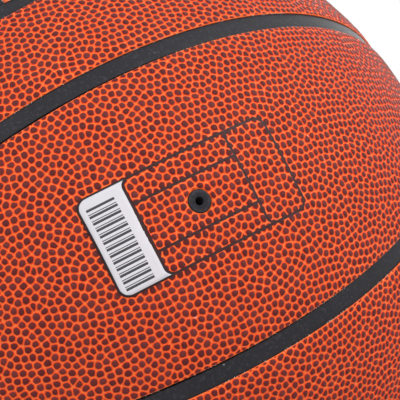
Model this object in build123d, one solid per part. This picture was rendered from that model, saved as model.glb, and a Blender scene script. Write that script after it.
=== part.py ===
from build123d import *
import os
from math import atan2, cos, degrees, pi, radians, sin, tan

# Size 7 basketball, in millimetres and degrees.
# Row frame: origin at the ball's centre, -Y out through the valve, +Z up towards the equator rib,
# X along the strip panel that holds the valve.
# Seam frame: z through the poles of the two ovals, the equator rib in the plane z = 0 and the valve's half
# at z > 0. It is turned about X into the row frame.

# Ball and its layers, from the outside in
ball_circumference = 760.0
skin_thickness = 0.9
backing_thickness = 0.9
carcass_thickness = 1.0
winding_thickness = 0.5
bladder_thickness = 0.9
glue_line = 0.2

# Ribs in the channels between the panels
channel_width = 6.0
rib_side_gap = 0.15
rib_recess = 0.9
rib_butt_gap = 0.1

# Seam layout: the strip from the middle of the equator rib to the middle of an oval's rib, at the oval's
# side and at its end, then the angular radius of an oval's long side, and the turn between the two ovals
strip_width = 90.5
strip_end_width = 37.75
oval_side_angle = 92.35
upper_oval_turn = 97.8

# Valve, along its own axis
valve_head_diameter = 6.4
valve_head_recess = 0.3
valve_hole_gap = 0.2
valve_stem_diameter = 10.0
valve_flange_diameter = 24.0
valve_flange_thickness = 1.2
valve_sleeve_diameter = 8.4
valve_sleeve_length = 14.0
valve_patch_diameter = 40.0
valve_patch_thickness = 0.8
core_shaft_diameter = 4.8
core_clearance = 0.05
core_tail_length = 1.0
needle_bore_diameter = 2.3
needle_mouth_diameter = 2.6

# Label film in the left cell of the printed frame
frame_length = 59.7
frame_height = 28.7
frame_corner_radius = 3.1
frame_shift = -0.7
frame_turn = -0.8
label_cell_length = 14.65
label_flare_radius = 2.5
label_flare_width = 1.5
label_thickness = 0.12
label_glue = 0.1

# Sizes that follow from these
ball_radius = ball_circumference / (2 * pi)
skin_inner = ball_radius - skin_thickness
backing_outer = skin_inner - glue_line
backing_inner = backing_outer - backing_thickness
carcass_outer = backing_inner - glue_line
carcass_inner = carcass_outer - carcass_thickness
winding_outer = carcass_inner - glue_line
winding_inner = winding_outer - winding_thickness
bladder_outer = winding_inner - glue_line
bladder_inner = bladder_outer - bladder_thickness
patch_outer = bladder_inner - glue_line
patch_inner = patch_outer - valve_patch_thickness
flange_outer = patch_inner - glue_line
flange_inner = flange_outer - valve_flange_thickness
rib_outer = ball_radius - rib_recess
rib_inner = carcass_outer + glue_line
rib_half = channel_width / 2 - rib_side_gap
panel_half = channel_width / 2
reach = 2 * ball_radius
oval_width_angle = 90 - degrees(strip_width / ball_radius)
oval_length_angle = 90 - degrees(strip_end_width / ball_radius)
oval_tilt = oval_side_angle - oval_width_angle
valve_latitude = degrees(strip_width / 2 / ball_radius)
ball_pole_turn = (37, 23, 11)


def place_seam(shape):
    """Turn a shape from the seam frame into the row frame."""
    return Rot(180 - valve_latitude, 0, 0) * shape


def place_valve(shape):
    """Turn a shape built along +Z into one along -Y, the valve's way out."""
    return Rot(90, 0, 0) * shape


def shell(outer, inner):
    """Hollow ball, with its own poles turned away from every seam."""
    return Rot(*ball_pole_turn) * (Sphere(outer) - Sphere(inner))


def half_space(normal, offset=0.0):
    """Everything further than offset from the centre along a direction."""
    plane = Plane(origin=(0, 0, 0), z_dir=normal)
    block = Box(2 * reach, 2 * reach, reach, align=(Align.CENTER, Align.CENTER, Align.MIN))
    return plane * Pos(0, 0, offset) * block


def slab(normal, half_width):
    """Both sides of a plane through the centre, to a half width."""
    return Plane(origin=(0, 0, 0), z_dir=normal) * Box(2 * reach, 2 * reach, 2 * half_width)


def cone(axis, half_angle):
    """Solid cone from the ball's centre, wide enough to leave the ball through its base."""
    radius = reach * tan(radians(half_angle))
    upright = Cone(0, radius, reach, align=(Align.CENTER, Align.CENTER, Align.MIN))
    return Plane(origin=(0, 0, 0), z_dir=axis) * upright


def oval_end_radius():
    """Angle of the end circle that is tangent to both side circles of the oval."""
    side, length, tilt = radians(oval_side_angle), radians(oval_length_angle), radians(oval_tilt)
    rise = cos(tilt) * cos(length) - cos(side)
    run = sin(side) - cos(tilt) * sin(length)
    return degrees(atan2(rise, run))


def oval(offset):
    """Solid within an oval about +z, long along x, its edge moved out by an offset on the ball."""
    grow = degrees(offset / ball_radius)
    end_radius = oval_end_radius()
    tilt = radians(oval_tilt)
    end_polar = radians(oval_length_angle - end_radius)
    side_offset = ball_radius * cos(radians(oval_side_angle + grow))
    body = None
    for side in (1, -1):
        wall = half_space((0, -side * sin(tilt), cos(tilt)), side_offset)
        body = wall if body is None else body & wall
    for end in (1, -1):
        end_axis = Vector(end * sin(end_polar), 0, cos(end_polar))
        sector = None
        for side in (1, -1):
            side_axis = Vector(0, -side * sin(tilt), cos(tilt))
            normal = side_axis.cross(end_axis) * (-side * end)
            wall = half_space(tuple(normal))
            sector = wall if sector is None else sector & wall
        body -= sector
        body += cone(tuple(end_axis), end_radius + grow) & sector
    return body


def rod(diameter, top, bottom):
    """Upright cylinder between two heights above the ball's centre."""
    centre = (top + bottom) / 2
    return Pos(0, 0, centre) * Cylinder(diameter / 2, top - bottom)


def valve_hole(diameter):
    """Hole along the valve's axis, in the row frame."""
    return place_valve(rod(diameter, reach, 0))


def single(shape):
    """The one solid of a shape."""
    solids = shape.solids()
    assert len(solids) == 1, len(solids)
    return solids[0]


def panel_cuts():
    """Name and seam-frame solid of each panel's outline."""
    inside, outside = oval(-panel_half), oval(panel_half)
    turn = Rot(180, 0, 0) * Rot(0, 0, -upper_oval_turn)
    upper_inside, upper_outside = turn * inside, turn * outside
    lower = half_space((0, 0, 1), panel_half) - outside
    upper = half_space((0, 0, -1), panel_half) - upper_outside
    front, back = half_space((0, 1, 0), panel_half), half_space((0, -1, 0), panel_half)
    across = (sin(radians(upper_oval_turn)), -cos(radians(upper_oval_turn)), 0)
    right = half_space(across, panel_half)
    left = half_space(tuple(-value for value in across), panel_half)
    return {
        "valve_strip": lower & front,
        "lower_back_strip": lower & back,
        "lower_oval_front": inside & front,
        "lower_oval_back": inside & back,
        "upper_front_strip": upper & front,
        "upper_back_strip": upper & back,
        "upper_oval_left": upper_inside & left,
        "upper_oval_right": upper_inside & right,
    }


def rib_cuts():
    """Name and seam-frame solid of each rib's outline."""
    turn = Rot(180, 0, 0) * Rot(0, 0, -upper_oval_turn)
    wide, narrow = oval(rib_half), oval(-rib_half)
    clear_wide, clear_narrow = oval(rib_half + rib_butt_gap), oval(-rib_half - rib_butt_gap)
    across = (sin(radians(upper_oval_turn)), -cos(radians(upper_oval_turn)), 0)
    meridian = slab((0, 1, 0), rib_half)
    lower = meridian & half_space((0, 0, 1), rib_half + rib_butt_gap)
    lower -= clear_wide
    upper = meridian & half_space((0, 0, -1), rib_half + rib_butt_gap)
    upper -= turn * clear_wide
    right, left = half_space((1, 0, 0)), half_space((-1, 0, 0))
    return {
        "equator_rib": slab((0, 0, 1), rib_half),
        "lower_oval_rib": wide - narrow,
        "upper_oval_rib": turn * (wide - narrow),
        "lower_divider_rib": clear_narrow & meridian,
        "upper_divider_rib": (turn * clear_narrow) & slab(across, rib_half),
        "lower_left_rib": lower & left,
        "lower_right_rib": lower & right,
        "upper_left_rib": upper & left,
        "upper_right_rib": upper & right,
    }


def panels():
    """Outer skin and fibre backing of each panel, the valve's panel with its hole."""
    made = {}
    hole = valve_hole(valve_head_diameter + 2 * valve_hole_gap)
    skin, backing = shell(ball_radius, skin_inner), shell(backing_outer, backing_inner)
    for name, cut in panel_cuts().items():
        for layer, ball in (("skin", skin), ("backing", backing)):
            piece = place_seam(ball & cut)
            if name == "valve_strip":
                piece -= hole
            made[f"{name}_{layer}"] = single(piece)
    return made


def ribs():
    """Rubber ribs that lie on the carcass and fill the channels."""
    ball = shell(rib_outer, rib_inner)
    return {name: single(place_seam(ball & cut)) for name, cut in rib_cuts().items()}


def inner_balls():
    """Carcass, winding and bladder, each pierced for the valve's stem."""
    hole = valve_hole(valve_stem_diameter + 2 * glue_line)
    return {
        "carcass": single(shell(carcass_outer, carcass_inner) - hole),
        "winding": single(shell(winding_outer, winding_inner) - hole),
        "bladder": single(shell(bladder_outer, bladder_inner) - hole),
    }


def valve():
    """Patch and housing on the bladder, and the core that pulls out for changing."""
    head_top = ball_radius - valve_head_recess
    stem_top = carcass_outer
    sleeve_end = flange_inner - valve_sleeve_length
    core_end = sleeve_end - core_tail_length
    head_bottom = stem_top + core_clearance
    bore = rod(core_shaft_diameter + 2 * core_clearance, ball_radius, core_end)

    patch = shell(patch_outer, patch_inner) & rod(valve_patch_diameter, ball_radius, 0)
    patch -= rod(valve_stem_diameter + 2 * glue_line, ball_radius, 0)

    housing = shell(flange_outer, flange_inner) & rod(valve_flange_diameter, ball_radius, 0)
    housing += rod(valve_stem_diameter, stem_top, flange_inner)
    housing += rod(valve_sleeve_diameter, flange_outer, sleeve_end)
    housing -= bore

    core = rod(valve_head_diameter, head_top, head_bottom)
    core += rod(core_shaft_diameter, head_bottom, core_end)
    core -= rod(needle_bore_diameter, head_top, core_end)
    mouth_depth = (needle_mouth_diameter - needle_bore_diameter) / 2
    mouth = Cone(needle_bore_diameter / 2, needle_mouth_diameter / 2, mouth_depth)
    core -= Pos(0, 0, head_top - mouth_depth / 2) * mouth

    made = {"valve_patch": patch, "valve_housing": housing, "valve_core": core}
    return {name: single(place_valve(shape)) for name, shape in made.items()}


def label():
    """Film that fills the left cell of the printed frame and follows the ball."""
    outline = RectangleRounded(frame_length, frame_height, frame_corner_radius)
    cell_edge = label_cell_length - frame_length / 2
    keep = Pos(cell_edge - frame_length / 2, 0, 0) * Rectangle(frame_length, 2 * frame_height)
    next_cell = RectangleRounded(frame_length, frame_height, label_flare_radius)
    outline = (outline & keep) - Pos(cell_edge - label_flare_width + frame_length / 2, 0, 0) * next_cell
    prism = Rot(0, 0, frame_turn) * Pos(frame_shift, 0, 0) * extrude(outline, reach)
    film = shell(ball_radius + label_glue + label_thickness, ball_radius + label_glue) & prism
    return {"label_film": single(place_valve(film))}


def main():
    os.makedirs("parts", exist_ok=True)
    nodes = {}
    for group in (inner_balls(), valve(), ribs(), panels(), label()):
        nodes.update(group)
    for name, solid in nodes.items():
        solid.label = name
        export_step(solid, f"parts/{name}.step")
        print(f"{name}: {solid.volume:.1f} mm3")


main()
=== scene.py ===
"""Looks of a size 7 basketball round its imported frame: pebbled panels, ribs, valve, print and label."""
import math

import bpy
import numpy as np
from mathutils import Matrix, Vector
from mathutils.geometry import delaunay_2d_cdt


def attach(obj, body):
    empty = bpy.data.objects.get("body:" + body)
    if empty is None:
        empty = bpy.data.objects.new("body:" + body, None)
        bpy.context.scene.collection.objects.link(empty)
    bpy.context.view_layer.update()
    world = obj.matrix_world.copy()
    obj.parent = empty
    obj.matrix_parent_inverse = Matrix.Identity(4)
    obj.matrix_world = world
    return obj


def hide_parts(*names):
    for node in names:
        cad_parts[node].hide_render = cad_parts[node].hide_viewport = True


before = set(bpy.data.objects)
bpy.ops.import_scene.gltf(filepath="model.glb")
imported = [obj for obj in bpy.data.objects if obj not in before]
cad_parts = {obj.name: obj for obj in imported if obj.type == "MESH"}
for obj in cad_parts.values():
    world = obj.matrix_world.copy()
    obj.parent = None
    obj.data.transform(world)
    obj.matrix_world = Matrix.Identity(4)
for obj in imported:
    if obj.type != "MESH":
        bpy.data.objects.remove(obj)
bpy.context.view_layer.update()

# Unit, smallest length to divide by, and height on a unit ball above which a vector is near the pole
mm = 0.001
tiny = 1e-9
pole_height = 0.9

# Ball, channels and seam layout, as in the frame
ball_radius = 760 * mm / (2 * math.pi)
skin_inner = ball_radius - 0.9 * mm
channel_half = 3.0 * mm
rib_half = 2.85 * mm
rib_outer = ball_radius - 0.9 * mm
rib_inner = ball_radius - 2.0 * mm
rib_butt_gap = 0.1 * mm
strip_width = 90.5 * mm
strip_end_width = 37.75 * mm
oval_side_angle = math.radians(92.35)
upper_oval_turn = math.radians(97.8)
valve_latitude = strip_width / 2 / ball_radius

# Oval: angles from its pole to its sides and ends, and the circles that its edge is made of
oval_width_angle = math.pi / 2 - strip_width / ball_radius
oval_length_angle = math.pi / 2 - strip_end_width / ball_radius
oval_tilt = oval_side_angle - oval_width_angle
oval_rise = math.cos(oval_tilt) * math.cos(oval_length_angle) - math.cos(oval_side_angle)
oval_run = math.sin(oval_side_angle) - math.cos(oval_tilt) * math.sin(oval_length_angle)
oval_end_angle = math.atan2(oval_rise, oval_run)
oval_end_polar = oval_length_angle - oval_end_angle
oval_side_axis = np.array([0, -math.sin(oval_tilt), math.cos(oval_tilt)])
oval_end_axis = np.array([math.sin(oval_end_polar), 0, math.cos(oval_end_polar)])

# Pebbles
pebble_spacing = 2.38 * mm
pebble_jitter = 0.65 * mm
pebble_height = 0.48 * mm
pebble_sides = 8
pebble_turn = 2 * math.pi / pebble_sides
pebble_roundness = 6
shoulder_inset, shoulder_height = 0.19 * mm, 0.62
top_inset = 0.325 * mm
height_spread = 0.06 * mm
small_cell = 0.75 * mm
least_room, least_reach = 0.3, 0.05 * mm
least_height = 0.15
shortest_side = 0.01 * mm
relax_rounds = 6
first_seed = 11

# Cut edges of the panels
edge_inset = 0.05 * mm
edge_roll_width = 4.0 * mm
edge_roll_depth = 0.3 * mm
edge_relief = 0.6
edge_arc_step = 0.7 * mm
edge_slides, edge_probe = 3, 1e-4
seed_margin = 7 * mm

# Fibres that stick out of the cut edges over the ribs
fibre_bunches = 22
bunch_reach = 5 * mm
bunched_share, lone_share = 0.85, 0.06
fibre_half = 0.16 * mm
fibre_lift = 0.17 * mm
fibre_reach = (0.2 * mm, 0.7 * mm)
fibre_run = 0.8 * mm

# Flat map of a panel: its face, its underside, the spot that all fibres share and its cut edge
map_width, map_corner = 0.94, (0.03, 0.4)
under_scale, under_corner = 0.3, (0.3, 0.0)
fibre_spot = [[0.02, 0.02], [0.06, 0.02], [0.02, 0.06]]
rim_band = 1.2 * mm

# Valve, along its own axis
valve_hole_radius = 3.4 * mm
head_radius = 3.2 * mm
head_top = ball_radius - 0.3 * mm
head_bottom = 118.808 * mm
shaft_radius = 2.4 * mm
core_end = 98.558 * mm
bore_radius = 1.15 * mm
mouth_radius = 1.3 * mm
mouth_lip, mouth_dip = 0.25 * mm, 0.03 * mm
mouth_rounding = 0.3 * mm
funnel_depth = 1.0 * mm
shaft_step = 0.01 * mm
valve_rounding = 0.22 * mm
lathe_steps = 72

# Printed frame round the valve and the label in its left cell
frame_half_length = 29.85 * mm
frame_half_height = 14.35 * mm
frame_corner = 3.1 * mm
frame_shift = (-0.7 * mm, 0.0)
frame_turn = math.radians(-0.8)
label_edge = -15.2 * mm
middle_cell_left = -16.7 * mm
right_cell_left = 16.4 * mm
cell_corner = 2.5 * mm
row_line_height = 7.15 * mm
line_half_width = 0.42 * mm
film_line_half, film_line_softness = 0.2 * mm, 0.04 * mm
label_line_extra = 0.4 * mm
line_softness = 0.05 * mm
press_reach = 1.2 * mm
press_depth = 0.2 * mm
press_gain = 1.5
bar_middle = (-24.0 * mm, -0.75 * mm)
bar_half_length = 4.1 * mm
bar_half_height = 12.05 * mm
bar_pitch = 1.95 * mm
wide_bar_share = 0.36
fine_bar_share = 0.13
film_inner = ball_radius + 0.1 * mm
film_outer = ball_radius + 0.22 * mm
film_step, film_tolerance = 1.2 * mm, 1e-7
whole_hull, inside_only = 0, 1
label_corner_points, flare_points = 12, 10

# Ribs
rib_rounding = 0.03 * mm
rib_set_back = 0.6 * mm
rib_least_set_back = 0.1 * mm
rib_gap_fade, rib_gap_middle = 70 * mm, 0.4
rib_step = 2.0 * mm
rib_corner_points, rib_flat_points = 5, 3
halvings = 40
room_steps = 400

# Colours, in pairs where a pattern goes from one to the other
valley_colours = (0.87, 0.176, 0.035), (0.91, 0.24, 0.058)
slope_colour = (0.82, 0.055, 0.006)
top_colours = (0.093, 0.011, 0.011), (0.14, 0.0238, 0.0223)
sheen_tint = (1.0, 0.42, 0.32)
speck_colour = (0.75, 0.6, 0.55)
cut_colours = (0.7, 0.06, 0.01), (0.84, 0.78, 0.75)
shade_colour, ink_colour = (0.03, 0.005, 0.004), (0.042, 0.0165, 0.017)
rib_colour, valve_colour = (0.0195, 0.0195, 0.0235), (0.025, 0.0245, 0.03)
carcass_colour, bladder_colour = (0.03, 0.03, 0.032), (0.02, 0.02, 0.022)
dust_colour = (0.5, 0.5, 0.5)
# Felt of the backing, and the painted shade on its outer face and cut edges
felt_colours, gap_shade_colour = ((0.5, 0.46, 0.43), (0.82, 0.79, 0.75)), (0.03, 0.012, 0.01)
thread_colours = (0.42, 0.38, 0.3), (0.8, 0.76, 0.66)
paper_colours = (0.62, 0.6, 0.64), (0.655, 0.635, 0.675)
bar_colour, border_colour = (0.05, 0.05, 0.055), (0.028, 0.027, 0.029)
floor_colours = (0.8, 0.8, 0.8), (0.84, 0.84, 0.84)
black, white = (0.0, 0.0, 0.0), (1.0, 1.0, 1.0)

# Pebble levels over which the colour turns, and tones of a rubber: dark, light and worn
slope_turn, top_turn = (0.08, 0.5), (0.7, 0.84)
ragged_edge = 0.16
rubber_tones = (0.8, 1.2, 2.2)
worn_share, speck_share = 0.65, 0.6
rib_dust, valve_dust, carcass_dust, bladder_dust = 0.45, 0.1, 0.2, 0.15

# Dark shade beside the printed lines, from where it starts to where it is full
shade_reach, shade_share = (1.5 * mm, 0.3 * mm), 0.45

# Depth of the finest grain, and the directions of the wound thread
leather_grain, rubber_grain, paper_grain = 0.03 * mm, 0.02 * mm, 0.01 * mm
felt_grain, thread_grain = 0.1 * mm, 0.15 * mm
thread_axes = (1, 0.3, 0.1), (-0.4, 1, 0.5), (0.2, -0.5, 1)
thread_turn = 1.1

# Floor: half its side, where it starts to turn white and where it is white
floor_half = 4
floor_fade = (0.7, 2.4)

# Light of the surroundings on matte surfaces, and each lamp's place, size and power
world_level = 0.58
lamps = {
    "key": ((2.75, -2.4, 0.9), 2.6, 92),
    "fill": ((-2.2, -1.7, 2.3), 2.6, 54),
    "back": ((2.2, 2.2, 1.1), 2.4, 46),
}

# Camera, in ball radii from the ball's centre, and its axes
camera_place = Vector((-1.25144, -4.28799, -0.20303)) * ball_radius
camera_up = Vector((0.42587, -0.21677, 0.87844))
camera_back = Vector((-0.35515, -0.93301, -0.05805))
camera_lens = 142.454
camera_sensor = 36.0


def rotation(axis, angle):
    """Matrix of a turn about a named axis."""
    return np.array(Matrix.Rotation(angle, 3, axis))


seam_to_row = rotation("X", math.pi - valve_latitude)
valve_axis = np.array([0, math.cos(valve_latitude), math.sin(valve_latitude)])
frame_rotation = rotation("Z", frame_turn)[:2, :2]
front, pole = np.array([0.0, 1.0, 0.0]), np.array([0.0, 0.0, 1.0])
lower_oval = np.eye(3)
upper_oval = rotation("Z", upper_oval_turn) @ rotation("X", math.pi)


def unit(vectors):
    """Vectors at length one."""
    return vectors / np.linalg.norm(vectors, axis=-1, keepdims=True)


def tangents(outward):
    """Two directions along the ball at each unit vector, right-handed with it."""
    upright = np.abs(outward[..., 2:3]) < pole_height
    helper = np.where(upright, [0.0, 0.0, 1.0], [1.0, 0.0, 0.0])
    east = unit(np.cross(helper, outward))
    return east, np.cross(outward, east)


def arc_cos(value):
    """Angle of a cosine, safe at its ends."""
    return np.arccos(np.clip(value, -1, 1))


def oval_distance(points):
    """Length along the ball from an oval's middle line to unit points in its frame, positive outside."""
    folded = np.stack([np.abs(points[..., 0]), np.abs(points[..., 1]), points[..., 2]], -1)
    beyond = folded @ -np.cross(oval_side_axis, oval_end_axis) >= 0
    side = arc_cos(folded @ oval_side_axis) - oval_side_angle
    end = arc_cos(folded @ oval_end_axis) - oval_end_angle
    return ball_radius * np.where(beyond, end, side)


def plane_edge(normal):
    """Distance into a panel from a channel along a great circle."""
    return lambda points: ball_radius * np.arcsin(np.clip(points @ normal, -1, 1)) - channel_half


def oval_edge(oval, side):
    """Distance into a panel from the channel along an oval: side 1 is the panel outside it, -1 inside."""
    return lambda points: side * oval_distance(points @ oval.T) - channel_half


def hole_edge(points):
    """Distance into a panel from the valve's hole."""
    return ball_radius * arc_cos(points @ valve_axis) - valve_hole_radius


def panel_edges():
    """Name of each panel and the functions that give the distance from its edges."""
    across = upper_oval.T @ front
    outside_lower, inside_lower = oval_edge(lower_oval, 1), oval_edge(lower_oval, -1)
    outside_upper, inside_upper = oval_edge(upper_oval, 1), oval_edge(upper_oval, -1)
    return {
        "valve_strip": [plane_edge(pole), outside_lower, plane_edge(front), hole_edge],
        "lower_back_strip": [plane_edge(pole), outside_lower, plane_edge(-front)],
        "lower_oval_front": [inside_lower, plane_edge(front)],
        "lower_oval_back": [inside_lower, plane_edge(-front)],
        "upper_front_strip": [plane_edge(-pole), outside_upper, plane_edge(front)],
        "upper_back_strip": [plane_edge(-pole), outside_upper, plane_edge(-front)],
        "upper_oval_left": [inside_upper, plane_edge(-across)],
        "upper_oval_right": [inside_upper, plane_edge(across)],
    }


def edge_distance(points, edges):
    """Distance into a panel from its nearest edge."""
    return np.min([edge(points) for edge in edges], axis=0)


def voronoi(seeds, middle):
    """Corners of the cells round seeds on the ball, with the seed and the corner of each pair, in turn."""
    east, north = tangents(middle)
    flat = np.stack([seeds @ east, seeds @ north], 1) / (1 + seeds @ middle)[:, None]
    spots = [Vector(spot) for spot in flat]
    _, _, triangles, sources, *_ = delaunay_2d_cdt(spots, [], [], whole_hull, tiny)
    triangles = np.array([names[0] for names in sources])[np.array(triangles)]
    first, second, third = seeds[triangles].swapaxes(0, 1)
    corners = unit(np.cross(second - first, third - first))
    corners *= np.sign((corners * first).sum(1))[:, None]
    seed_of = triangles.ravel()
    corner_of = np.repeat(np.arange(len(triangles)), 3)
    east, north = tangents(seeds[seed_of])
    offset = corners[corner_of] - seeds[seed_of]
    turn = np.arctan2((offset * north).sum(1), (offset * east).sum(1))
    order = np.lexsort((turn, seed_of))
    return corners, seed_of[order], corner_of[order]


def pebble_seeds(edges, generator):
    """Uneven but steady points over a panel and a margin round it."""
    cell_area = pebble_spacing**2 * math.sqrt(3) / 2
    count = round(4 * math.pi * ball_radius**2 / cell_area)
    steps = np.arange(count) + 0.5
    height = 1 - 2 * steps / count
    turn = math.pi * (3 - math.sqrt(5)) * steps
    ring = np.sqrt(1 - height**2)
    points = np.stack([ring * np.cos(turn), ring * np.sin(turn), height], 1)
    spin, _ = np.linalg.qr(generator.normal(size=(3, 3)))
    points = points @ spin
    points = points[edge_distance(points, edges) > -seed_margin]
    return unit(points + generator.normal(0, pebble_jitter / ball_radius, points.shape))


def slide_to_edge(point, along, edge):
    """Point of the ball beside another, square to a direction, where an edge's distance is zero."""
    across = unit(np.cross(point, along))
    for _ in range(edge_slides):
        here = edge(point)
        slope = (edge(unit(point + across * edge_probe)) - here) / edge_probe
        point = unit(point - across * here / slope)
    return point


def cut_cell(cell, edge, number, points, known):
    """Part of a cell on an edge's inner side. Cells that share a side share the new corners on it."""
    distance = edge(np.array([points[name] for name in cell]))
    if (distance >= 0).all():
        return cell

    def crossing(here, there):
        key = (number, min(here, there), max(here, there))
        if key not in known:
            start, stop = points[here], points[there]
            low, high = edge(start), edge(stop)
            middle = unit(start + (stop - start) * low / (low - high))
            known[key] = len(points)
            points.append(middle)
        return known[key]

    kept, left = [], None
    for place, name in enumerate(cell):
        after = (place + 1) % len(cell)
        if distance[place] >= 0:
            kept.append(name)
        if (distance[place] >= 0) != (distance[after] >= 0):
            kept.append(crossing(name, cell[after]))
            if distance[place] >= 0:
                left = len(kept) - 1
    if left is None:
        return []
    first, last = points[kept[left]], points[kept[(left + 1) % len(kept)]]
    count = int(np.linalg.norm(last - first) * ball_radius / edge_arc_step)
    between = []
    for share in np.arange(1, count + 1) / (count + 1):
        chord = unit(first + (last - first) * share)
        between.append(len(points))
        points.append(slide_to_edge(chord, last - first, edge))
    return kept[: left + 1] + between + kept[left + 1 :]


def cell_bounds(seed_of):
    """Where each seed's run of corners starts and stops."""
    starts = np.flatnonzero(np.diff(seed_of, prepend=-1))
    return starts, np.append(starts[1:], len(seed_of))


def panel_cells(edges, generator):
    """Corner directions on the ball, and each cell within a panel as its corners in turn."""
    seeds = pebble_seeds(edges, generator)
    middle = unit(seeds[edge_distance(seeds, edges) > 0].mean(0))
    for _ in range(relax_rounds):
        corners, seed_of, corner_of = voronoi(seeds, middle)
        starts, stops = cell_bounds(seed_of)
        after = np.arange(1, len(seed_of) + 1)
        after[stops - 1] = starts
        own, here, there = seeds[seed_of], corners[corner_of], corners[corner_of[after]]
        area = np.linalg.norm(np.cross(here - own, there - own), axis=1)
        total = np.zeros_like(seeds)
        np.add.at(total, seed_of, (own + here + there) * area[:, None])
        inner = edge_distance(seeds, edges) > -seed_margin / 2
        seeds[inner] = unit(total[inner])
    corners, seed_of, corner_of = voronoi(seeds, middle)
    points, known, cells = list(corners), {}, []
    distance = edge_distance(corners, edges)
    for start, stop in zip(*cell_bounds(seed_of)):
        cell = [int(name) for name in corner_of[start:stop]]
        if (distance[cell] < 0).all():
            continue
        for number, edge in enumerate(edges):
            cell = cut_cell(cell, edge, number, points, known) if cell else cell
        if len(cell) > 2:
            cells.append(cell)
    return np.array(points), cells, middle


def alone(first, second, count):
    """Which sides, from first to second corners, have no twin that runs the other way."""
    return ~np.isin(first * count + second, second * count + first)


def rim_sides(cells, count):
    """For each cell, which of its sides no other cell shares."""
    first = np.concatenate(cells)
    second = np.concatenate([np.roll(cell, -1) for cell in cells])
    return np.split(alone(first, second, count), np.cumsum([len(cell) for cell in cells])[:-1])


def flat_places(corners, middle):
    """Places of each cell's corners in the plane that touches the ball at the cell's middle."""
    offset = (corners - middle[:, None]) * ball_radius
    return np.stack([(offset * axis[:, None]).sum(2) for axis in tangents(middle)], 2)


def cell_middles(corners):
    """Direction of each cell's centre of area, from its corners in turn."""
    middle = unit(corners.mean(1))
    east, north = tangents(middle)
    place = flat_places(corners, middle)
    after = np.roll(place, -1, 1)
    cross = place[..., 0] * after[..., 1] - place[..., 1] * after[..., 0]
    weight = ((place + after) * cross[..., None]).sum(1) / (3 * cross.sum(1)[:, None])
    return unit(middle + (east * weight[:, :1] + north * weight[:, 1:]) / ball_radius)


def pebble_faces(ids, turn):
    """Faces of pebbles: from each cell's corners to the shoulder, from there to the top, and the top.

    Turns count from a pebble's first ring point. Ring points are named -1 - place in the rings."""
    rows = np.arange(len(ids))[:, None] * 2 * pebble_sides
    shoulder = -1 - (rows + np.arange(pebble_sides))
    top = shoulder - pebble_sides
    nearest = (turn // pebble_turn).astype(int) % pebble_sides
    outer = np.stack([np.roll(ids, 1, 1), ids, np.take_along_axis(shoulder, nearest, 1)], 2)
    passed = (turn[:, None] <= (np.arange(pebble_sides) * pebble_turn)[:, None]).sum(2) - 1
    held = np.take_along_axis(ids, passed % ids.shape[1], 1)
    inner = np.stack([shoulder, np.roll(shoulder, 1, 1), held], 2)
    band = np.stack([shoulder, np.roll(shoulder, -1, 1), np.roll(top, -1, 1), top], 2)
    return [outer.reshape(-1, 3), inner.reshape(-1, 3), band.reshape(-1, 4), top]


def pebble_group(points, ids, rims, generator):
    """Pebbles in cells with equally many corners: directions, levels and heights of rings, and faces."""
    count = len(ids)
    middle = cell_middles(points[ids])
    east, north = tangents(middle)
    base = generator.uniform(0, 2 * math.pi, (count, 1))
    place = flat_places(points[ids], middle)
    turn = (np.arctan2(place[..., 1], place[..., 0]) - base) % (2 * math.pi)
    order = np.argsort(turn, 1)
    ids, rims, turn = (np.take_along_axis(values, order, 1) for values in (ids, rims, turn))
    place = np.take_along_axis(place, order[..., None], 1)
    along = np.roll(place, -1, 1) - place
    length = np.maximum(np.linalg.norm(along, axis=2), tiny)
    normal = np.stack([along[..., 1], -along[..., 0]], 2) / length[..., None]
    reach = (place * normal).sum(2)
    facing = np.arctan2(normal[..., 1], normal[..., 0])
    angles = base + np.arange(pebble_sides) * pebble_turn

    def ring(inset):
        gap = np.where(rims, edge_inset, inset)
        room = np.maximum(reach - gap, least_room * np.maximum(reach, least_reach))
        room = np.where(length < shortest_side, 1.0, room)
        cosine = np.maximum(np.cos(angles[:, :, None] - facing[:, None]), 0)
        radius = ((cosine / room[:, None]) ** pebble_roundness).sum(2) ** (-1 / pebble_roundness)
        across = radius * np.cos(angles)
        up = radius * np.sin(angles)
        offset = across[..., None] * east[:, None] + up[..., None] * north[:, None]
        return unit(middle[:, None] + offset / ball_radius)

    room = np.clip(reach.min(1) / small_cell, least_height, 1)
    full = pebble_height * room + generator.uniform(-height_spread, 0, count) * room
    rings = np.concatenate([ring(shoulder_inset), ring(top_inset)], 1)
    levels = np.repeat([shoulder_height, 1.0], pebble_sides) * np.ones((count, 1))
    heights = levels * full[:, None]
    faces = pebble_faces(ids, turn)
    tone = generator.uniform(0, 1, count)
    tones = [np.repeat(tone, len(group) // count) for group in faces]
    return rings.reshape(-1, 3), levels.ravel(), heights.ravel(), faces, tones


def add_object(name, data):
    """New object in the scene."""
    item = bpy.data.objects.new(name, data)
    bpy.context.scene.collection.objects.link(item)
    return item


def mesh_object(name, vertices, groups):
    """Object of a smooth mesh whose faces come in groups with equally many corners."""
    mesh = bpy.data.meshes.new(name)
    totals = np.concatenate([np.full(len(group), group.shape[1]) for group in groups])
    corners = np.concatenate([group.ravel() for group in groups]).astype(np.int32)
    mesh.vertices.add(len(vertices))
    mesh.vertices.foreach_set("co", np.asarray(vertices, np.float32).ravel())
    mesh.loops.add(len(corners))
    mesh.loops.foreach_set("vertex_index", corners)
    mesh.polygons.add(len(totals))
    mesh.polygons.foreach_set("loop_start", (np.cumsum(totals) - totals).astype(np.int32))
    mesh.update(calc_edges=True)
    mesh.validate()
    mesh.shade_smooth()
    return add_object(name, mesh)


def add_attribute(piece, name, domain, values):
    """Number on each point or face of a piece, for its material."""
    attribute = piece.data.attributes.new(name, "FLOAT", domain)
    attribute.data.foreach_set("value", np.asarray(values, np.float32))


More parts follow.
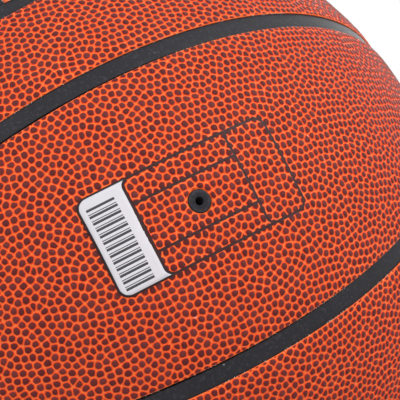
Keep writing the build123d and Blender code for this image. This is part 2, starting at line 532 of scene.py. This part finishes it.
def loose_fibres(points, sides, generator):
    """Fibres that stick out of a panel's cut edge, most of them in bunches: vertices and faces."""
    there, here = points[sides].swapaxes(0, 1)
    middle, along = unit(here + there), unit(there - here)
    bunches = middle[generator.choice(len(middle), fibre_bunches)]
    bunched = (middle @ bunches.T).max(1) > math.cos(bunch_reach / ball_radius)
    chosen = generator.random(len(middle)) < np.where(bunched, bunched_share, lone_share)
    chosen &= hole_edge(middle) > bunch_reach
    middle, along = middle[chosen], along[chosen]
    outward = np.cross(along, middle)
    root = middle * (rib_outer + fibre_lift) - outward * fibre_half
    reach = generator.uniform(*fibre_reach, (len(root), 1))
    run = generator.uniform(-fibre_run, fibre_run, (len(root), 1))
    tip = unit(root + outward * reach + along * run) * (rib_outer + fibre_lift)
    sides = [root + along * fibre_half, root - along * fibre_half, root + middle * fibre_half, tip]
    faces = np.array([[0, 1, 2], [0, 3, 1], [1, 3, 2], [2, 3, 0]])
    rows = np.arange(len(root))[:, None, None] * len(sides)
    return np.stack(sides, 1).reshape(-1, 3), (rows + faces).reshape(-1, 3)


def panel_map(vertices, groups, under_from, rim_from, middle):
    """Flat map of a panel: its face in a wide band, its cut edge round that, its underside small below."""
    east, north = tangents(middle)
    facing = unit(vertices)
    plane = np.stack([facing @ east, facing @ north], 1) * np.sqrt(2 / (1 + facing @ middle))[:, None]
    _, _, axes = np.linalg.svd(plane - plane.mean(0), full_matrices=False)
    plane = plane @ axes.T
    low, high = plane.min(0), plane.max(0)
    scale = map_width / (high[0] - low[0])
    plane = (plane - low) * scale + map_corner
    maps = []
    for number, group in enumerate(groups):
        spots = plane[group]
        if number > rim_from:
            spots = np.broadcast_to(fibre_spot, spots.shape)
        elif number == rim_from:
            along = spots[:, 0] - spots[:, 1]
            out = np.stack([along[:, 1], -along[:, 0]], 1)
            out /= np.maximum(np.linalg.norm(out, axis=1, keepdims=True), tiny)
            spots[:, 2:] = spots[:, 1::-1] + out[:, None] * rim_band / ball_radius * scale
        elif number >= under_from:
            spots = spots * under_scale + under_corner
        maps.append(spots.reshape(-1, 2))
    return np.concatenate(maps)


def line_press(facing):
    """How far the printed lines press the pebbles flat at unit vectors in the row frame, from 0 to 1."""
    flat = ball_radius * facing[:, [0, 2]] @ frame_rotation - frame_shift
    lines = frame_lines(flat[:, 0], flat[:, 1], facing[:, 1])
    return np.clip(press_gain * (1 - lines / press_reach), 0, 1)


def skin_radius(directions, heights, edges):
    """Distance of a panel's face from the ball's centre, with its rolled edges and pressed print lines."""
    distance = np.maximum(edge_distance(directions, edges), 0)
    near = np.clip(1 - distance / edge_roll_width, 0, 1) ** 2
    relief = 1 - near * (1 - edge_relief)
    radius = ball_radius - near * edge_roll_depth - (pebble_height - heights) * relief
    pressed = line_press(directions @ seam_to_row.T)
    return radius + (ball_radius - press_depth - radius) * pressed


def used_only(groups):
    """Vertices that groups of faces use, and the groups with only those counted."""
    used, packed = np.unique(np.concatenate([group.ravel() for group in groups]), return_inverse=True)
    parts = np.split(packed, np.cumsum([group.size for group in groups])[:-1])
    return used, [part.reshape(group.shape) for part, group in zip(parts, groups)]


def pebbled_panel(name, edges, generator):
    """One panel's skin: a pebble on each cell, cut edges with loose fibres and a plain underside."""
    points, cells, middle = panel_cells(edges, generator)
    rims = rim_sides(cells, len(points))
    sizes = np.array([len(cell) for cell in cells])
    directions, levels, heights = [points], [np.zeros(len(points))], [np.zeros(len(points))]
    face_groups, tone_groups, under, sides = [], [], [], []
    base = len(points)
    for size in np.unique(sizes):
        chosen = np.flatnonzero(sizes == size)
        ids = np.array([cells[number] for number in chosen])
        open_sides = np.array([rims[number] for number in chosen])
        rings, ring_levels, ring_heights, faces, tones = pebble_group(points, ids, open_sides, generator)
        face_groups += [np.where(group < 0, base - 1 - group, group) for group in faces]
        tone_groups += tones
        under.append(ids[:, ::-1])
        sides.append(np.stack([np.roll(ids, -1, 1)[open_sides], ids[open_sides]], 1))
        directions.append(rings)
        levels.append(ring_levels)
        heights.append(ring_heights)
        base += len(rings)
    directions, heights = np.concatenate(directions), np.concatenate(heights)
    radius = skin_radius(directions, heights, edges)
    sides = np.concatenate(sides)
    walls = np.concatenate([sides, sides[:, ::-1] + base], 1)
    fibre_points, fibres = loose_fibres(points, sides, generator)
    fibres += base + len(points)
    groups = face_groups + [group + base for group in under] + [walls, fibres]
    vertices = np.concatenate([directions * radius[:, None], points * skin_inner, fibre_points])
    used, groups = used_only(groups)
    vertices = vertices[used]
    piece = mesh_object(f"{name}_leather", vertices @ seam_to_row.T, groups)
    levels.append(np.zeros(len(points) + len(fibre_points)))
    add_attribute(piece, "pebble", "POINT", np.concatenate(levels)[used])
    add_attribute(piece, "cut", "POINT", (used >= base).astype(float))
    plain = sum(len(group) for group in under) + len(walls)
    tones = tone_groups + [np.zeros(plain), np.ones(len(fibres))]
    add_attribute(piece, "tone", "FACE", np.concatenate(tones))
    flat = panel_map(vertices, groups, len(face_groups), len(groups) - 2, middle)
    piece.data.uv_layers.new(name="OFBake").data.foreach_set("uv", flat.astype(np.float32).ravel())
    return piece


def rib_profile(set_back=0.0):
    """Across a rib, one edge set back: offsets from its middle line and radii, once round its section."""
    corner = np.linspace(0, math.pi / 2, rib_corner_points)
    side = rib_rounding * (np.sin(corner) - 1)
    drop = rib_rounding * (1 - np.cos(corner))
    left, right = -rib_half - side[::-1], rib_half - set_back + side
    flat = np.linspace(left[-1], right[0], rib_flat_points + 2)[1:-1]
    offsets = np.concatenate([[-rib_half], left, flat, right, [rib_half]])
    level = np.concatenate([drop[::-1], np.zeros(rib_flat_points), drop])
    radii = np.concatenate([[rib_inner], rib_outer - level, [rib_inner]])
    return offsets, radii


def swept_rib(name, directions, radii, closed):
    """Rib from the directions of its section at each step along it."""
    steps, size = directions.shape[:2]
    vertices = (directions * radii[None, :, None]).reshape(-1, 3)
    grid = np.arange(steps * size).reshape(steps, size)
    ahead = np.roll(grid, -1, 0) if closed else grid[1:]
    here = grid if closed else grid[:-1]
    quads = np.stack([here, ahead, np.roll(ahead, -1, 1), np.roll(here, -1, 1)], 2).reshape(-1, 4)
    groups = [quads] if closed else [quads, np.stack([grid[0], grid[-1][::-1]])]
    return mesh_object(f"{name}_rubber", vertices @ seam_to_row.T, groups)


def circle_points(axis, start, radius, angles, offsets):
    """Directions at angles round an axis, from a start direction, on circles at offsets from a radius.

    The angles' last axis has one entry for each offset, or one for all."""
    side = np.cross(axis, start)
    spoke = np.cos(angles)[..., None] * start + np.sin(angles)[..., None] * side
    wide = radius + offsets / ball_radius
    return np.cos(wide)[:, None] * axis + np.sin(wide)[:, None] * spoke


def uneven_gap(sections):
    """Rib sections from a function of the set-back, with a gap that closes to the ball's right."""
    wide, narrow = sections(rib_set_back), sections(rib_least_set_back)
    share = np.clip(rib_gap_middle + wide[..., :1] * ball_radius / rib_gap_fade, 0, 1)
    return unit(wide + (narrow - wide) * share)


def steps_along(radius, span):
    """Angles over an arc of the ball, about a rib step apart and without the last, one in each row."""
    count = max(2, round(ball_radius * math.sin(radius) * span / rib_step))
    return np.linspace(-span / 2, span / 2, count + 1)[:-1, None]


def oval_rib(name, oval):
    """Rib along an oval, its outer edge set back from the strip panel."""
    end_start = np.array([math.cos(oval_end_polar), 0, -math.sin(oval_end_polar)])
    side_start = np.array([0, math.cos(oval_tilt), math.sin(oval_tilt)])
    away = -oval_side_axis
    end_span = 2 * math.atan2(away[1], away @ end_start)
    side_span = 2 * math.atan2(oval_end_axis[0], oval_end_axis @ side_start)
    end_angles = steps_along(oval_end_angle, end_span)
    side_angles = steps_along(oval_side_angle, side_span)

    def sections(set_back):
        offsets, _ = rib_profile(set_back)
        half = np.concatenate([
            circle_points(oval_end_axis, end_start, oval_end_angle, end_angles, offsets),
            circle_points(oval_side_axis, side_start, oval_side_angle, side_angles, offsets),
        ])
        return np.concatenate([half, half * [-1, -1, 1]]) @ oval

    return swept_rib(name, uneven_gap(sections), rib_profile()[1], True)


def equator_rib():
    """Rib along the great circle between the ball's halves, its edge by the valve's half set back."""
    angles = steps_along(math.pi / 2, 2 * math.pi)
    axis, start = np.array([0.0, 0.0, -1.0]), np.array([1.0, 0.0, 0.0])

    def sections(set_back):
        return circle_points(axis, start, math.pi / 2, angles, rib_profile(set_back)[0])

    return swept_rib("equator_rib", uneven_gap(sections), rib_profile()[1], True)


def straight_rib(name, normal, middle, room):
    """Rib along a great circle, from its middle both ways to where its room ends."""
    offsets, radii = rib_profile()
    ways = np.array([[-1], [1]])
    low = np.zeros((2, len(offsets)))
    high = low + math.pi / 2
    for _ in range(halvings):
        tried = (low + high) / 2
        free = room(circle_points(normal, middle, math.pi / 2, ways * tried, offsets)) > 0
        low, high = np.where(free, tried, low), np.where(free, high, tried)
    count = round(ball_radius * (low[0].max() + low[1].max()) / rib_step)
    shares = np.linspace(0, 1, count + 1)[:, None]
    angles = -low[0] + shares * (low[0] + low[1])
    rows = circle_points(normal, middle, math.pi / 2, angles, offsets)
    return swept_rib(name, rows, radii, False)


def ribs():
    """Name and piece of each rib."""
    clear = rib_half + rib_butt_gap
    made = {"equator_rib": equator_rib(), "lower_oval_rib": oval_rib("lower_oval_rib", lower_oval),
            "upper_oval_rib": oval_rib("upper_oval_rib", upper_oval)}
    for level, oval, up in (("lower", lower_oval, 1), ("upper", upper_oval, -1)):

        def inside(points):
            return -oval_distance(points @ oval.T) - clear

        def between(points):
            above = ball_radius * np.arcsin(points[..., 2] * up) - clear
            return np.minimum(above, oval_distance(points @ oval.T) - clear)

        name = f"{level}_divider_rib"
        made[name] = straight_rib(name, oval.T @ front, oval.T @ pole, inside)
        for side, sign in (("left", -1), ("right", 1)):
            name = f"{level}_{side}_rib"
            rises = np.linspace(0, math.pi / 2, room_steps)
            arc = np.stack([sign * np.cos(rises), np.zeros(room_steps), up * np.sin(rises)], 1)
            free = rises[between(arc) > 0]
            rise = (free[0] + free[-1]) / 2
            middle = np.array([sign * math.cos(rise), 0, up * math.sin(rise)])
            made[name] = straight_rib(name, front, middle, between)
    return made


def lathe(name, outline):
    """Solid of revolution about the valve's axis from radii and heights, once round its section."""
    outline = np.array(outline)
    angles = np.arange(lathe_steps) * 2 * math.pi / lathe_steps
    across = outline[:, 0] * np.cos(angles)[:, None]
    up = outline[:, 0] * np.sin(angles)[:, None]
    height = np.broadcast_to(-outline[:, 1], across.shape)
    vertices = np.stack([across, height, up], 2).reshape(-1, 3)
    grid = np.arange(len(vertices)).reshape(lathe_steps, -1)
    ahead = np.roll(grid, -1, 0)
    quads = np.stack([grid, np.roll(grid, -1, 1), np.roll(ahead, -1, 1), ahead], 2)
    return mesh_object(name, vertices, [quads.reshape(-1, 4)])


def corner_arc(centre, radius, start, stop, count=6):
    """Points of a rounded corner."""
    angles = np.radians(np.linspace(start, stop, count))
    return [(centre[0] + radius * math.cos(a), centre[1] + radius * math.sin(a)) for a in angles]


def valve_core():
    """Valve core with a soft rim, a funnel at the needle's hole and a shaft that tapers at its end."""
    soft = valve_rounding
    lip = mouth_radius + mouth_lip
    outline = [(bore_radius, core_end + soft)]
    outline += corner_arc((bore_radius + soft, core_end + soft), soft, 180, 270)
    outline += corner_arc((shaft_radius - 2 * soft, core_end + 2 * soft), 2 * soft, 270, 360)
    outline += [(shaft_radius, head_bottom - shaft_step), (shaft_radius, head_bottom)]
    outline += corner_arc((head_radius - soft, head_bottom + soft), soft, 270, 360)
    outline += corner_arc((head_radius - soft, head_top - soft), soft, 0, 90)
    outline += [(lip, head_top - mouth_dip)]
    outline += corner_arc((lip, head_top - mouth_dip - mouth_rounding), mouth_rounding, 90, 180)
    outline += [(bore_radius, head_top - funnel_depth)]
    return lathe("valve_core_rubber", outline)


def label_outline():
    """Corner points of the label in the valve's plane, with its rounded corners and hollow side."""
    left, top = -frame_half_length, frame_half_height
    inner, count = left + frame_corner, label_corner_points
    points = corner_arc((inner, top - frame_corner), frame_corner, 90, 180, count)
    points += corner_arc((inner, frame_corner - top), frame_corner, 180, 270, count)
    bend = middle_cell_left + cell_corner
    reach = math.degrees(math.acos((bend - label_edge) / cell_corner))
    points += [(label_edge, -top)]
    points += corner_arc((bend, cell_corner - top), cell_corner, 180 + reach, 180, flare_points)
    points += corner_arc((bend, top - cell_corner), cell_corner, 180, 180 - reach, flare_points)
    points += [(label_edge, top)]
    return np.array(points)


def label_film():
    """Thin film on the ball within the label's outline."""
    outline = label_outline()
    count = len(outline)
    across = np.arange(outline[:, 0].min(), outline[:, 0].max(), film_step)
    up = np.arange(-frame_half_height, frame_half_height, film_step)
    inner = np.stack(np.meshgrid(across, up), 2).reshape(-1, 2)
    sides = [(place, (place + 1) % count) for place in range(count)]
    spots = [Vector(spot) for spot in np.concatenate([outline, inner])]
    whole = [list(range(count))]
    spots, _, faces, *_ = delaunay_2d_cdt(spots, sides, whole, inside_only, film_tolerance)
    flat, faces = np.array([tuple(spot) for spot in spots]), np.array(faces)
    turned = (flat + frame_shift) @ frame_rotation.T
    depth = np.sqrt(ball_radius**2 - (turned**2).sum(1))
    facing = np.stack([turned[:, 0], -depth, turned[:, 1]], 1) / ball_radius
    first, second, third = facing[faces].swapaxes(0, 1)
    inward = (np.cross(second - first, third - first) * first).sum(1) < 0
    faces[inward] = faces[inward][:, ::-1]
    sides = np.concatenate([faces[:, [0, 1]], faces[:, [1, 2]], faces[:, [2, 0]]])
    size = len(flat)
    rim = sides[alone(sides[:, 0], sides[:, 1], size)]
    walls = np.stack([rim[:, 1], rim[:, 0], rim[:, 0] + size, rim[:, 1] + size], 1)
    vertices = np.concatenate([facing * film_outer, facing * film_inner])
    return mesh_object("label_print_film", vertices, [faces, faces[:, ::-1] + size, walls])


class Value(np.lib.mixins.NDArrayOperatorsMixin):
    """Number in a node tree. Sums on it are written as on arrays, and each becomes a node."""

    operations = {"greater": "GREATER_THAN", "less": "LESS_THAN", "remainder": "FLOORED_MODULO"}

    def __init__(self, nodes, socket):
        self.nodes = nodes
        self.socket = socket

    def __array_ufunc__(self, function, method, *values):
        """Value of a new node that does what a function of arrays does."""
        operation = self.operations.get(function.__name__, function.__name__.upper())
        return self.nodes.value("ShaderNodeMath", 0, dict(enumerate(values)), operation=operation)


class Nodes:
    """Node tree of a material or of the surroundings, with short ways to add to it."""

    def __init__(self, holder):
        holder.use_nodes = True
        self.tree = holder.node_tree

    def link(self, value, socket):
        """Feed a socket from a value or another socket, or set it to a number or colour."""
        source = value.socket if isinstance(value, Value) else value
        if isinstance(source, bpy.types.NodeSocket):
            self.tree.links.new(source, socket)
        elif socket.type == "RGBA":
            socket.default_value = (*source, 1.0)
        else:
            socket.default_value = source

    def add(self, kind, inputs=(), **settings):
        """New node, its inputs given by name or place."""
        node = self.tree.nodes.new(kind)
        for name, setting in settings.items():
            setattr(node, name, setting)
        for name, value in dict(inputs).items():
            self.link(value, node.inputs[name])
        return node

    def value(self, kind, output, inputs=(), **settings):
        """Number that a new node gives."""
        return Value(self, self.add(kind, inputs, **settings).outputs[output])

    def mix(self, factor, first, second):
        """Blend of two colours."""
        inputs = {"Factor": factor, "A": first, "B": second}
        return self.add("ShaderNodeMix", inputs, data_type="RGBA").outputs["Result"]

    def ramp(self, value, low, high, start=0.0, stop=1.0):
        """Soft step from start at low to stop at high."""
        inputs = {"Value": value, "From Min": low, "From Max": high, "To Min": start, "To Max": stop}
        return self.value("ShaderNodeMapRange", "Result", inputs, interpolation_type="SMOOTHSTEP")

    def attribute(self, name):
        """Number stored on the piece's mesh."""
        return self.value("ShaderNodeAttribute", "Fac", attribute_name=name)

    def place(self):
        """Place in the row frame, in metres."""
        return self.add("ShaderNodeTexCoord").outputs["Object"]

    def turned_place(self, axis, angle):
        """Place in the row frame after a turn."""
        inputs = {"Vector": self.place(), "Axis": axis, "Angle": angle}
        return self.add("ShaderNodeVectorRotate", inputs, rotation_type="AXIS_ANGLE").outputs[0]

    def noise(self, scale, detail=2.0, roughness=0.5):
        """Noise with a number of bumps per metre."""
        inputs = {"Vector": self.place(), "Scale": scale, "Detail": detail, "Roughness": roughness}
        return self.value("ShaderNodeTexNoise", "Fac", inputs)

    def bump(self, height, distance, strength):
        """Normal from a height in metres."""
        inputs = {"Height": height, "Distance": distance, "Strength": strength}
        return self.add("ShaderNodeBump", inputs).outputs["Normal"]


class Shader(Nodes):
    """Material with a Principled shader."""

    def __init__(self, name, **sockets):
        self.material = bpy.data.materials.new(name)
        super().__init__(self.material)
        for socket, value in sockets.items():
            self.set(socket.replace("_", " "), value)

    def set(self, name, value):
        """Feed an input of the Principled shader."""
        self.link(value, self.tree.nodes["Principled BSDF"].inputs[name])


def rounded_box(across, up, half_length, half_height, corner):
    """Distance from a rounded rectangle's outline, negative inside, on arrays or values."""
    side = np.abs(across) - (half_length - corner)
    end = np.abs(up) - (half_height - corner)
    side_out, end_out = np.maximum(side, 0.0), np.maximum(end, 0.0)
    outside = np.sqrt(side_out * side_out + end_out * end_out)
    inside = np.minimum(np.maximum(side, end), 0.0)
    return outside + inside - corner


def frame_lines(across, up, depth):
    """Distance from the nearest printed line round the valve, on arrays or values.

    The wide line by the label is drawn twice."""
    outer = rounded_box(across, up, frame_half_length, frame_half_height, frame_corner)
    lines = np.abs(outer)
    for left in (middle_cell_left, middle_cell_left + label_line_extra, right_cell_left):
        shifted = across - (left + frame_half_length)
        cell = rounded_box(shifted, up, frame_half_length, frame_half_height, cell_corner)
        lines = np.minimum(lines, np.maximum(np.abs(cell), outer))
    middle = across - (middle_cell_left + right_cell_left) / 2
    past = np.maximum(np.abs(middle) - (right_cell_left - middle_cell_left) / 2, 0.0)
    row = np.abs(np.abs(up) - row_line_height)
    behind = depth > 0.0
    return np.minimum(lines, row + past) + behind


def frame_place(shader):
    """Places along and up the printed frame, and depth behind the ball's middle."""
    turned = shader.turned_place((0.0, 1.0, 0.0), frame_turn)
    parts = shader.add("ShaderNodeSeparateXYZ", {"Vector": turned}).outputs
    across, depth, up = (Value(shader, part) for part in parts)
    return across - frame_shift[0], up - frame_shift[1], depth


def leather(name, printed=False):
    """Pebbled panel: orange valleys, dark tops, pale fibres at its edge and, on one, the printed frame."""
    shader = Shader(name, Specular_IOR_Level=0.17, Sheen_Weight=0.36, Sheen_Roughness=0.35)
    shader.set("Sheen Tint", sheen_tint)
    pebble, tone, cut = (shader.attribute(word) for word in ("pebble", "tone", "cut"))
    grain = shader.noise(2600.0, 3.0)
    valley = shader.mix(shader.noise(60.0, 3.0), *valley_colours)
    top = shader.mix(tone, *top_colours)
    ragged = pebble + (grain - 0.5) * ragged_edge
    colour = shader.mix(shader.ramp(ragged, *slope_turn), valley, slope_colour)
    colour = shader.mix(shader.ramp(ragged, *top_turn), colour, top)
    speck = shader.ramp(shader.noise(420.0, 1.0), 0.77, 0.8) * shader.ramp(pebble, 0.5, 0.2)
    colour = shader.mix(speck * speck_share, colour, speck_colour)
    fibre = np.maximum(shader.ramp(shader.noise(330.0, 4.0, 0.7), 0.58, 0.66), tone)
    edge = shader.mix(fibre, *cut_colours)
    colour = shader.mix(shader.ramp(cut, 0.05, 0.4), colour, edge)
    if printed:
        lines = frame_lines(*frame_place(shader))
        ink = shader.ramp(lines, line_half_width + line_softness, line_half_width - line_softness)
        shade = shader.ramp(lines, *shade_reach) * shade_share * shader.ramp(pebble, 0.5, 0.9)
        colour = shader.mix(shade, colour, shade_colour)
        colour = shader.mix(ink, colour, ink_colour)
    shader.set("Base Color", colour)
    shader.set("Roughness", shader.ramp(pebble, 0.3, 0.9, 0.45, 0.55))
    shader.set("Normal", shader.bump(grain, leather_grain, 0.6))
    return shader.material


def rubber(name, colour, dust):
    """Matte moulded rubber with a fine grain, faint mottling, worn specks and a little pale dust."""
    shader = Shader(name, Specular_IOR_Level=0.16)
    grain = shader.noise(1800.0, 4.0, 0.6)
    dark, light, pale = (tuple(share * part for part in colour) for share in rubber_tones)
    tint = shader.mix(shader.noise(90.0, 3.0), dark, light)
    worn = shader.ramp(shader.noise(1100.0, 2.0), 0.52, 0.68)
    tint = shader.mix(worn * worn_share, tint, pale)
    flecks = shader.ramp(shader.noise(650.0, 1.0), 0.77, 0.8)
    shader.set("Base Color", shader.mix(flecks * dust, tint, dust_colour))
    shader.set("Roughness", shader.ramp(grain, 0.2, 0.8, 0.45, 0.6))
    shader.set("Normal", shader.bump(grain, rubber_grain, 0.5))
    return shader.material


def fibre_backing():
    """White microfibre felt behind the panels, painted dark on its outer face and cut edges as shade for
    the gaps beside the ribs.
    """
    shader = Shader("fibre_backing", Roughness=0.95)
    tufts = shader.noise(900.0, 6.0, 0.7)
    felt = shader.mix(tufts, *felt_colours)
    surface = shader.add("ShaderNodeNewGeometry").outputs
    outward = shader.add("ShaderNodeVectorMath", {0: surface["Position"]}, operation="NORMALIZE").outputs[0]
    pair = {0: surface["True Normal"], 1: outward}
    facing = shader.value("ShaderNodeVectorMath", "Value", pair, operation="DOT_PRODUCT")
    # Painted shade: where the true normal faces outward or sideways, on the outer face and cut edges, the
    # felt turns dark
    gap_shade = shader.ramp(facing, -0.6, -0.4)
    shader.set("Base Color", shader.mix(gap_shade, felt, gap_shade_colour))
    shader.set("Normal", shader.bump(tufts, felt_grain, 0.8))
    return shader.material


def wound_thread():
    """Pale nylon thread wound round the bladder in three directions."""
    shader = Shader("wound_thread", Roughness=0.5)
    height = 0.0
    for axis in thread_axes:
        inputs = {"Vector": shader.turned_place(axis, thread_turn), "Scale": 260.0, "Distortion": 0.6}
        height = np.maximum(height, shader.value("ShaderNodeTexWave", "Fac", inputs))
    shader.set("Base Color", shader.mix(height, *thread_colours))
    shader.set("Normal", shader.bump(height, thread_grain, 0.7))
    return shader.material


def film_print():
    """White label film with the frame's line round it and a block of plain, evenly repeating bars."""
    shader = Shader("film_print", Roughness=0.45, Specular_IOR_Level=0.3)
    across, up, depth = frame_place(shader)
    lines = frame_lines(across, up, depth)
    border = shader.ramp(lines, film_line_half + film_line_softness, film_line_half - film_line_softness)
    across, up = across - bar_middle[0], up - bar_middle[1]
    steps = (up + bar_half_height) / bar_pitch
    wide = steps % 1.0 < wide_bar_share
    fine = (steps * 2.0) % 1.0 < 2 * fine_bar_share
    block = (np.abs(across) < bar_half_length) * (np.abs(up) < bar_half_height)
    paper = shader.mix(shader.noise(140.0, 3.0), *paper_colours)
    colour = shader.mix(np.maximum(wide, fine) * block, paper, bar_colour)
    shader.set("Base Color", shader.mix(border, colour, border_colour))
    shader.set("Normal", shader.bump(shader.noise(700.0, 2.0), paper_grain, 0.3))
    return shader.material


def dress(piece, body, node, material):
    """Let a piece stand for a CAD node, ride on its body and wear a material."""
    piece.data.materials.append(material)
    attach(piece, body)
    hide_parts(node)


def build_ball():
    """Every piece of the ball and the materials of the CAD nodes that stay."""
    plain_leather, printed_leather = leather("pebbled_leather"), leather("printed_leather", True)
    for number, (name, edges) in enumerate(panel_edges().items()):
        piece = pebbled_panel(name, edges, np.random.default_rng(number + first_seed))
        material = printed_leather if name == "valve_strip" else plain_leather
        dress(piece, "ball", f"{name}_skin", material)
    rib_material = rubber("rib_rubber", rib_colour, rib_dust)
    for name, piece in ribs().items():
        dress(piece, "ball", name, rib_material)
    valve_material = rubber("valve_rubber", valve_colour, valve_dust)
    dress(valve_core(), "core", "valve_core", valve_material)
    dress(label_film(), "ball", "label_film", film_print())
    inner = {
        "carcass": rubber("carcass_rubber", carcass_colour, carcass_dust),
        "winding": wound_thread(),
        "bladder": rubber("bladder_rubber", bladder_colour, bladder_dust),
        "valve_patch": valve_material,
        "valve_housing": valve_material,
    }
    backing = fibre_backing()
    inner.update({name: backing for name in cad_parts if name.endswith("_backing")})
    for name, material in inner.items():
        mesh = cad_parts[name].data
        mesh.materials.clear()
        mesh.materials.append(material)


def direct_rays(nodes):
    """Value that is 1 for camera, glossy and transmission rays and 0 for diffuse ones."""
    path = nodes.add("ShaderNodeLightPath").outputs
    kinds = ("Is Camera Ray", "Is Glossy Ray", "Is Transmission Ray")
    camera, glossy, transmission = (Value(nodes, path[kind]) for kind in kinds)
    return np.maximum(np.maximum(camera, glossy), transmission)


def pale_floor():
    """Pale floor that fades into the white surroundings."""
    half = floor_half
    corners = [(-half, -half, 0), (half, -half, 0), (half, half, 0), (-half, half, 0)]
    floor = mesh_object("floor", corners, [np.array([[0, 1, 2, 3]])])
    floor.location.z = -ball_radius
    shader = Shader("pale_floor", Roughness=0.9, Specular_IOR_Level=0.0, Emission_Color=white)
    pale = shader.mix(shader.noise(3.0), *floor_colours)
    away = shader.value("ShaderNodeVectorMath", "Value", {0: shader.place()}, operation="LENGTH")
    fade = shader.ramp(away, *floor_fade) * direct_rays(shader)
    shader.set("Base Color", shader.mix(fade, pale, black))
    shader.set("Emission Strength", fade)
    floor.data.materials.append(shader.material)


def surroundings():
    """White surroundings that light matte surfaces more weakly than they show."""
    world = bpy.data.worlds.new("surroundings")
    bpy.context.scene.world = world
    nodes = Nodes(world)
    background = nodes.tree.nodes["Background"].inputs
    levels = {"Value": direct_rays(nodes), "To Min": world_level}
    nodes.link(white, background["Color"])
    nodes.link(nodes.value("ShaderNodeMapRange", "Result", levels), background["Strength"])


def area_light(name, place, size, power):
    """Square softbox aimed at the ball's middle."""
    data = bpy.data.lights.new(name, "AREA")
    data.size = size
    data.energy = power
    lamp = add_object(name, data)
    lamp.location = place
    lamp.rotation_euler = (-Vector(place)).to_track_quat("-Z", "Y").to_euler()


def photo_camera():
    """Camera with the photograph's view."""
    data = bpy.data.cameras.new("camera")
    data.lens = camera_lens
    data.sensor_width = camera_sensor
    camera = add_object("camera", data)
    right = camera_up.cross(camera_back)
    axes = Matrix((right, camera_up, camera_back)).transposed().to_4x4()
    camera.matrix_world = Matrix.Translation(camera_place) @ axes
    bpy.context.scene.camera = camera


def stage():
    """Floor, surroundings, soft lights and camera."""
    pale_floor()
    surroundings()
    for name, settings in lamps.items():
        area_light(name, *settings)
    photo_camera()
    bpy.context.scene.view_settings.view_transform = "Standard"


build_ball()
stage()
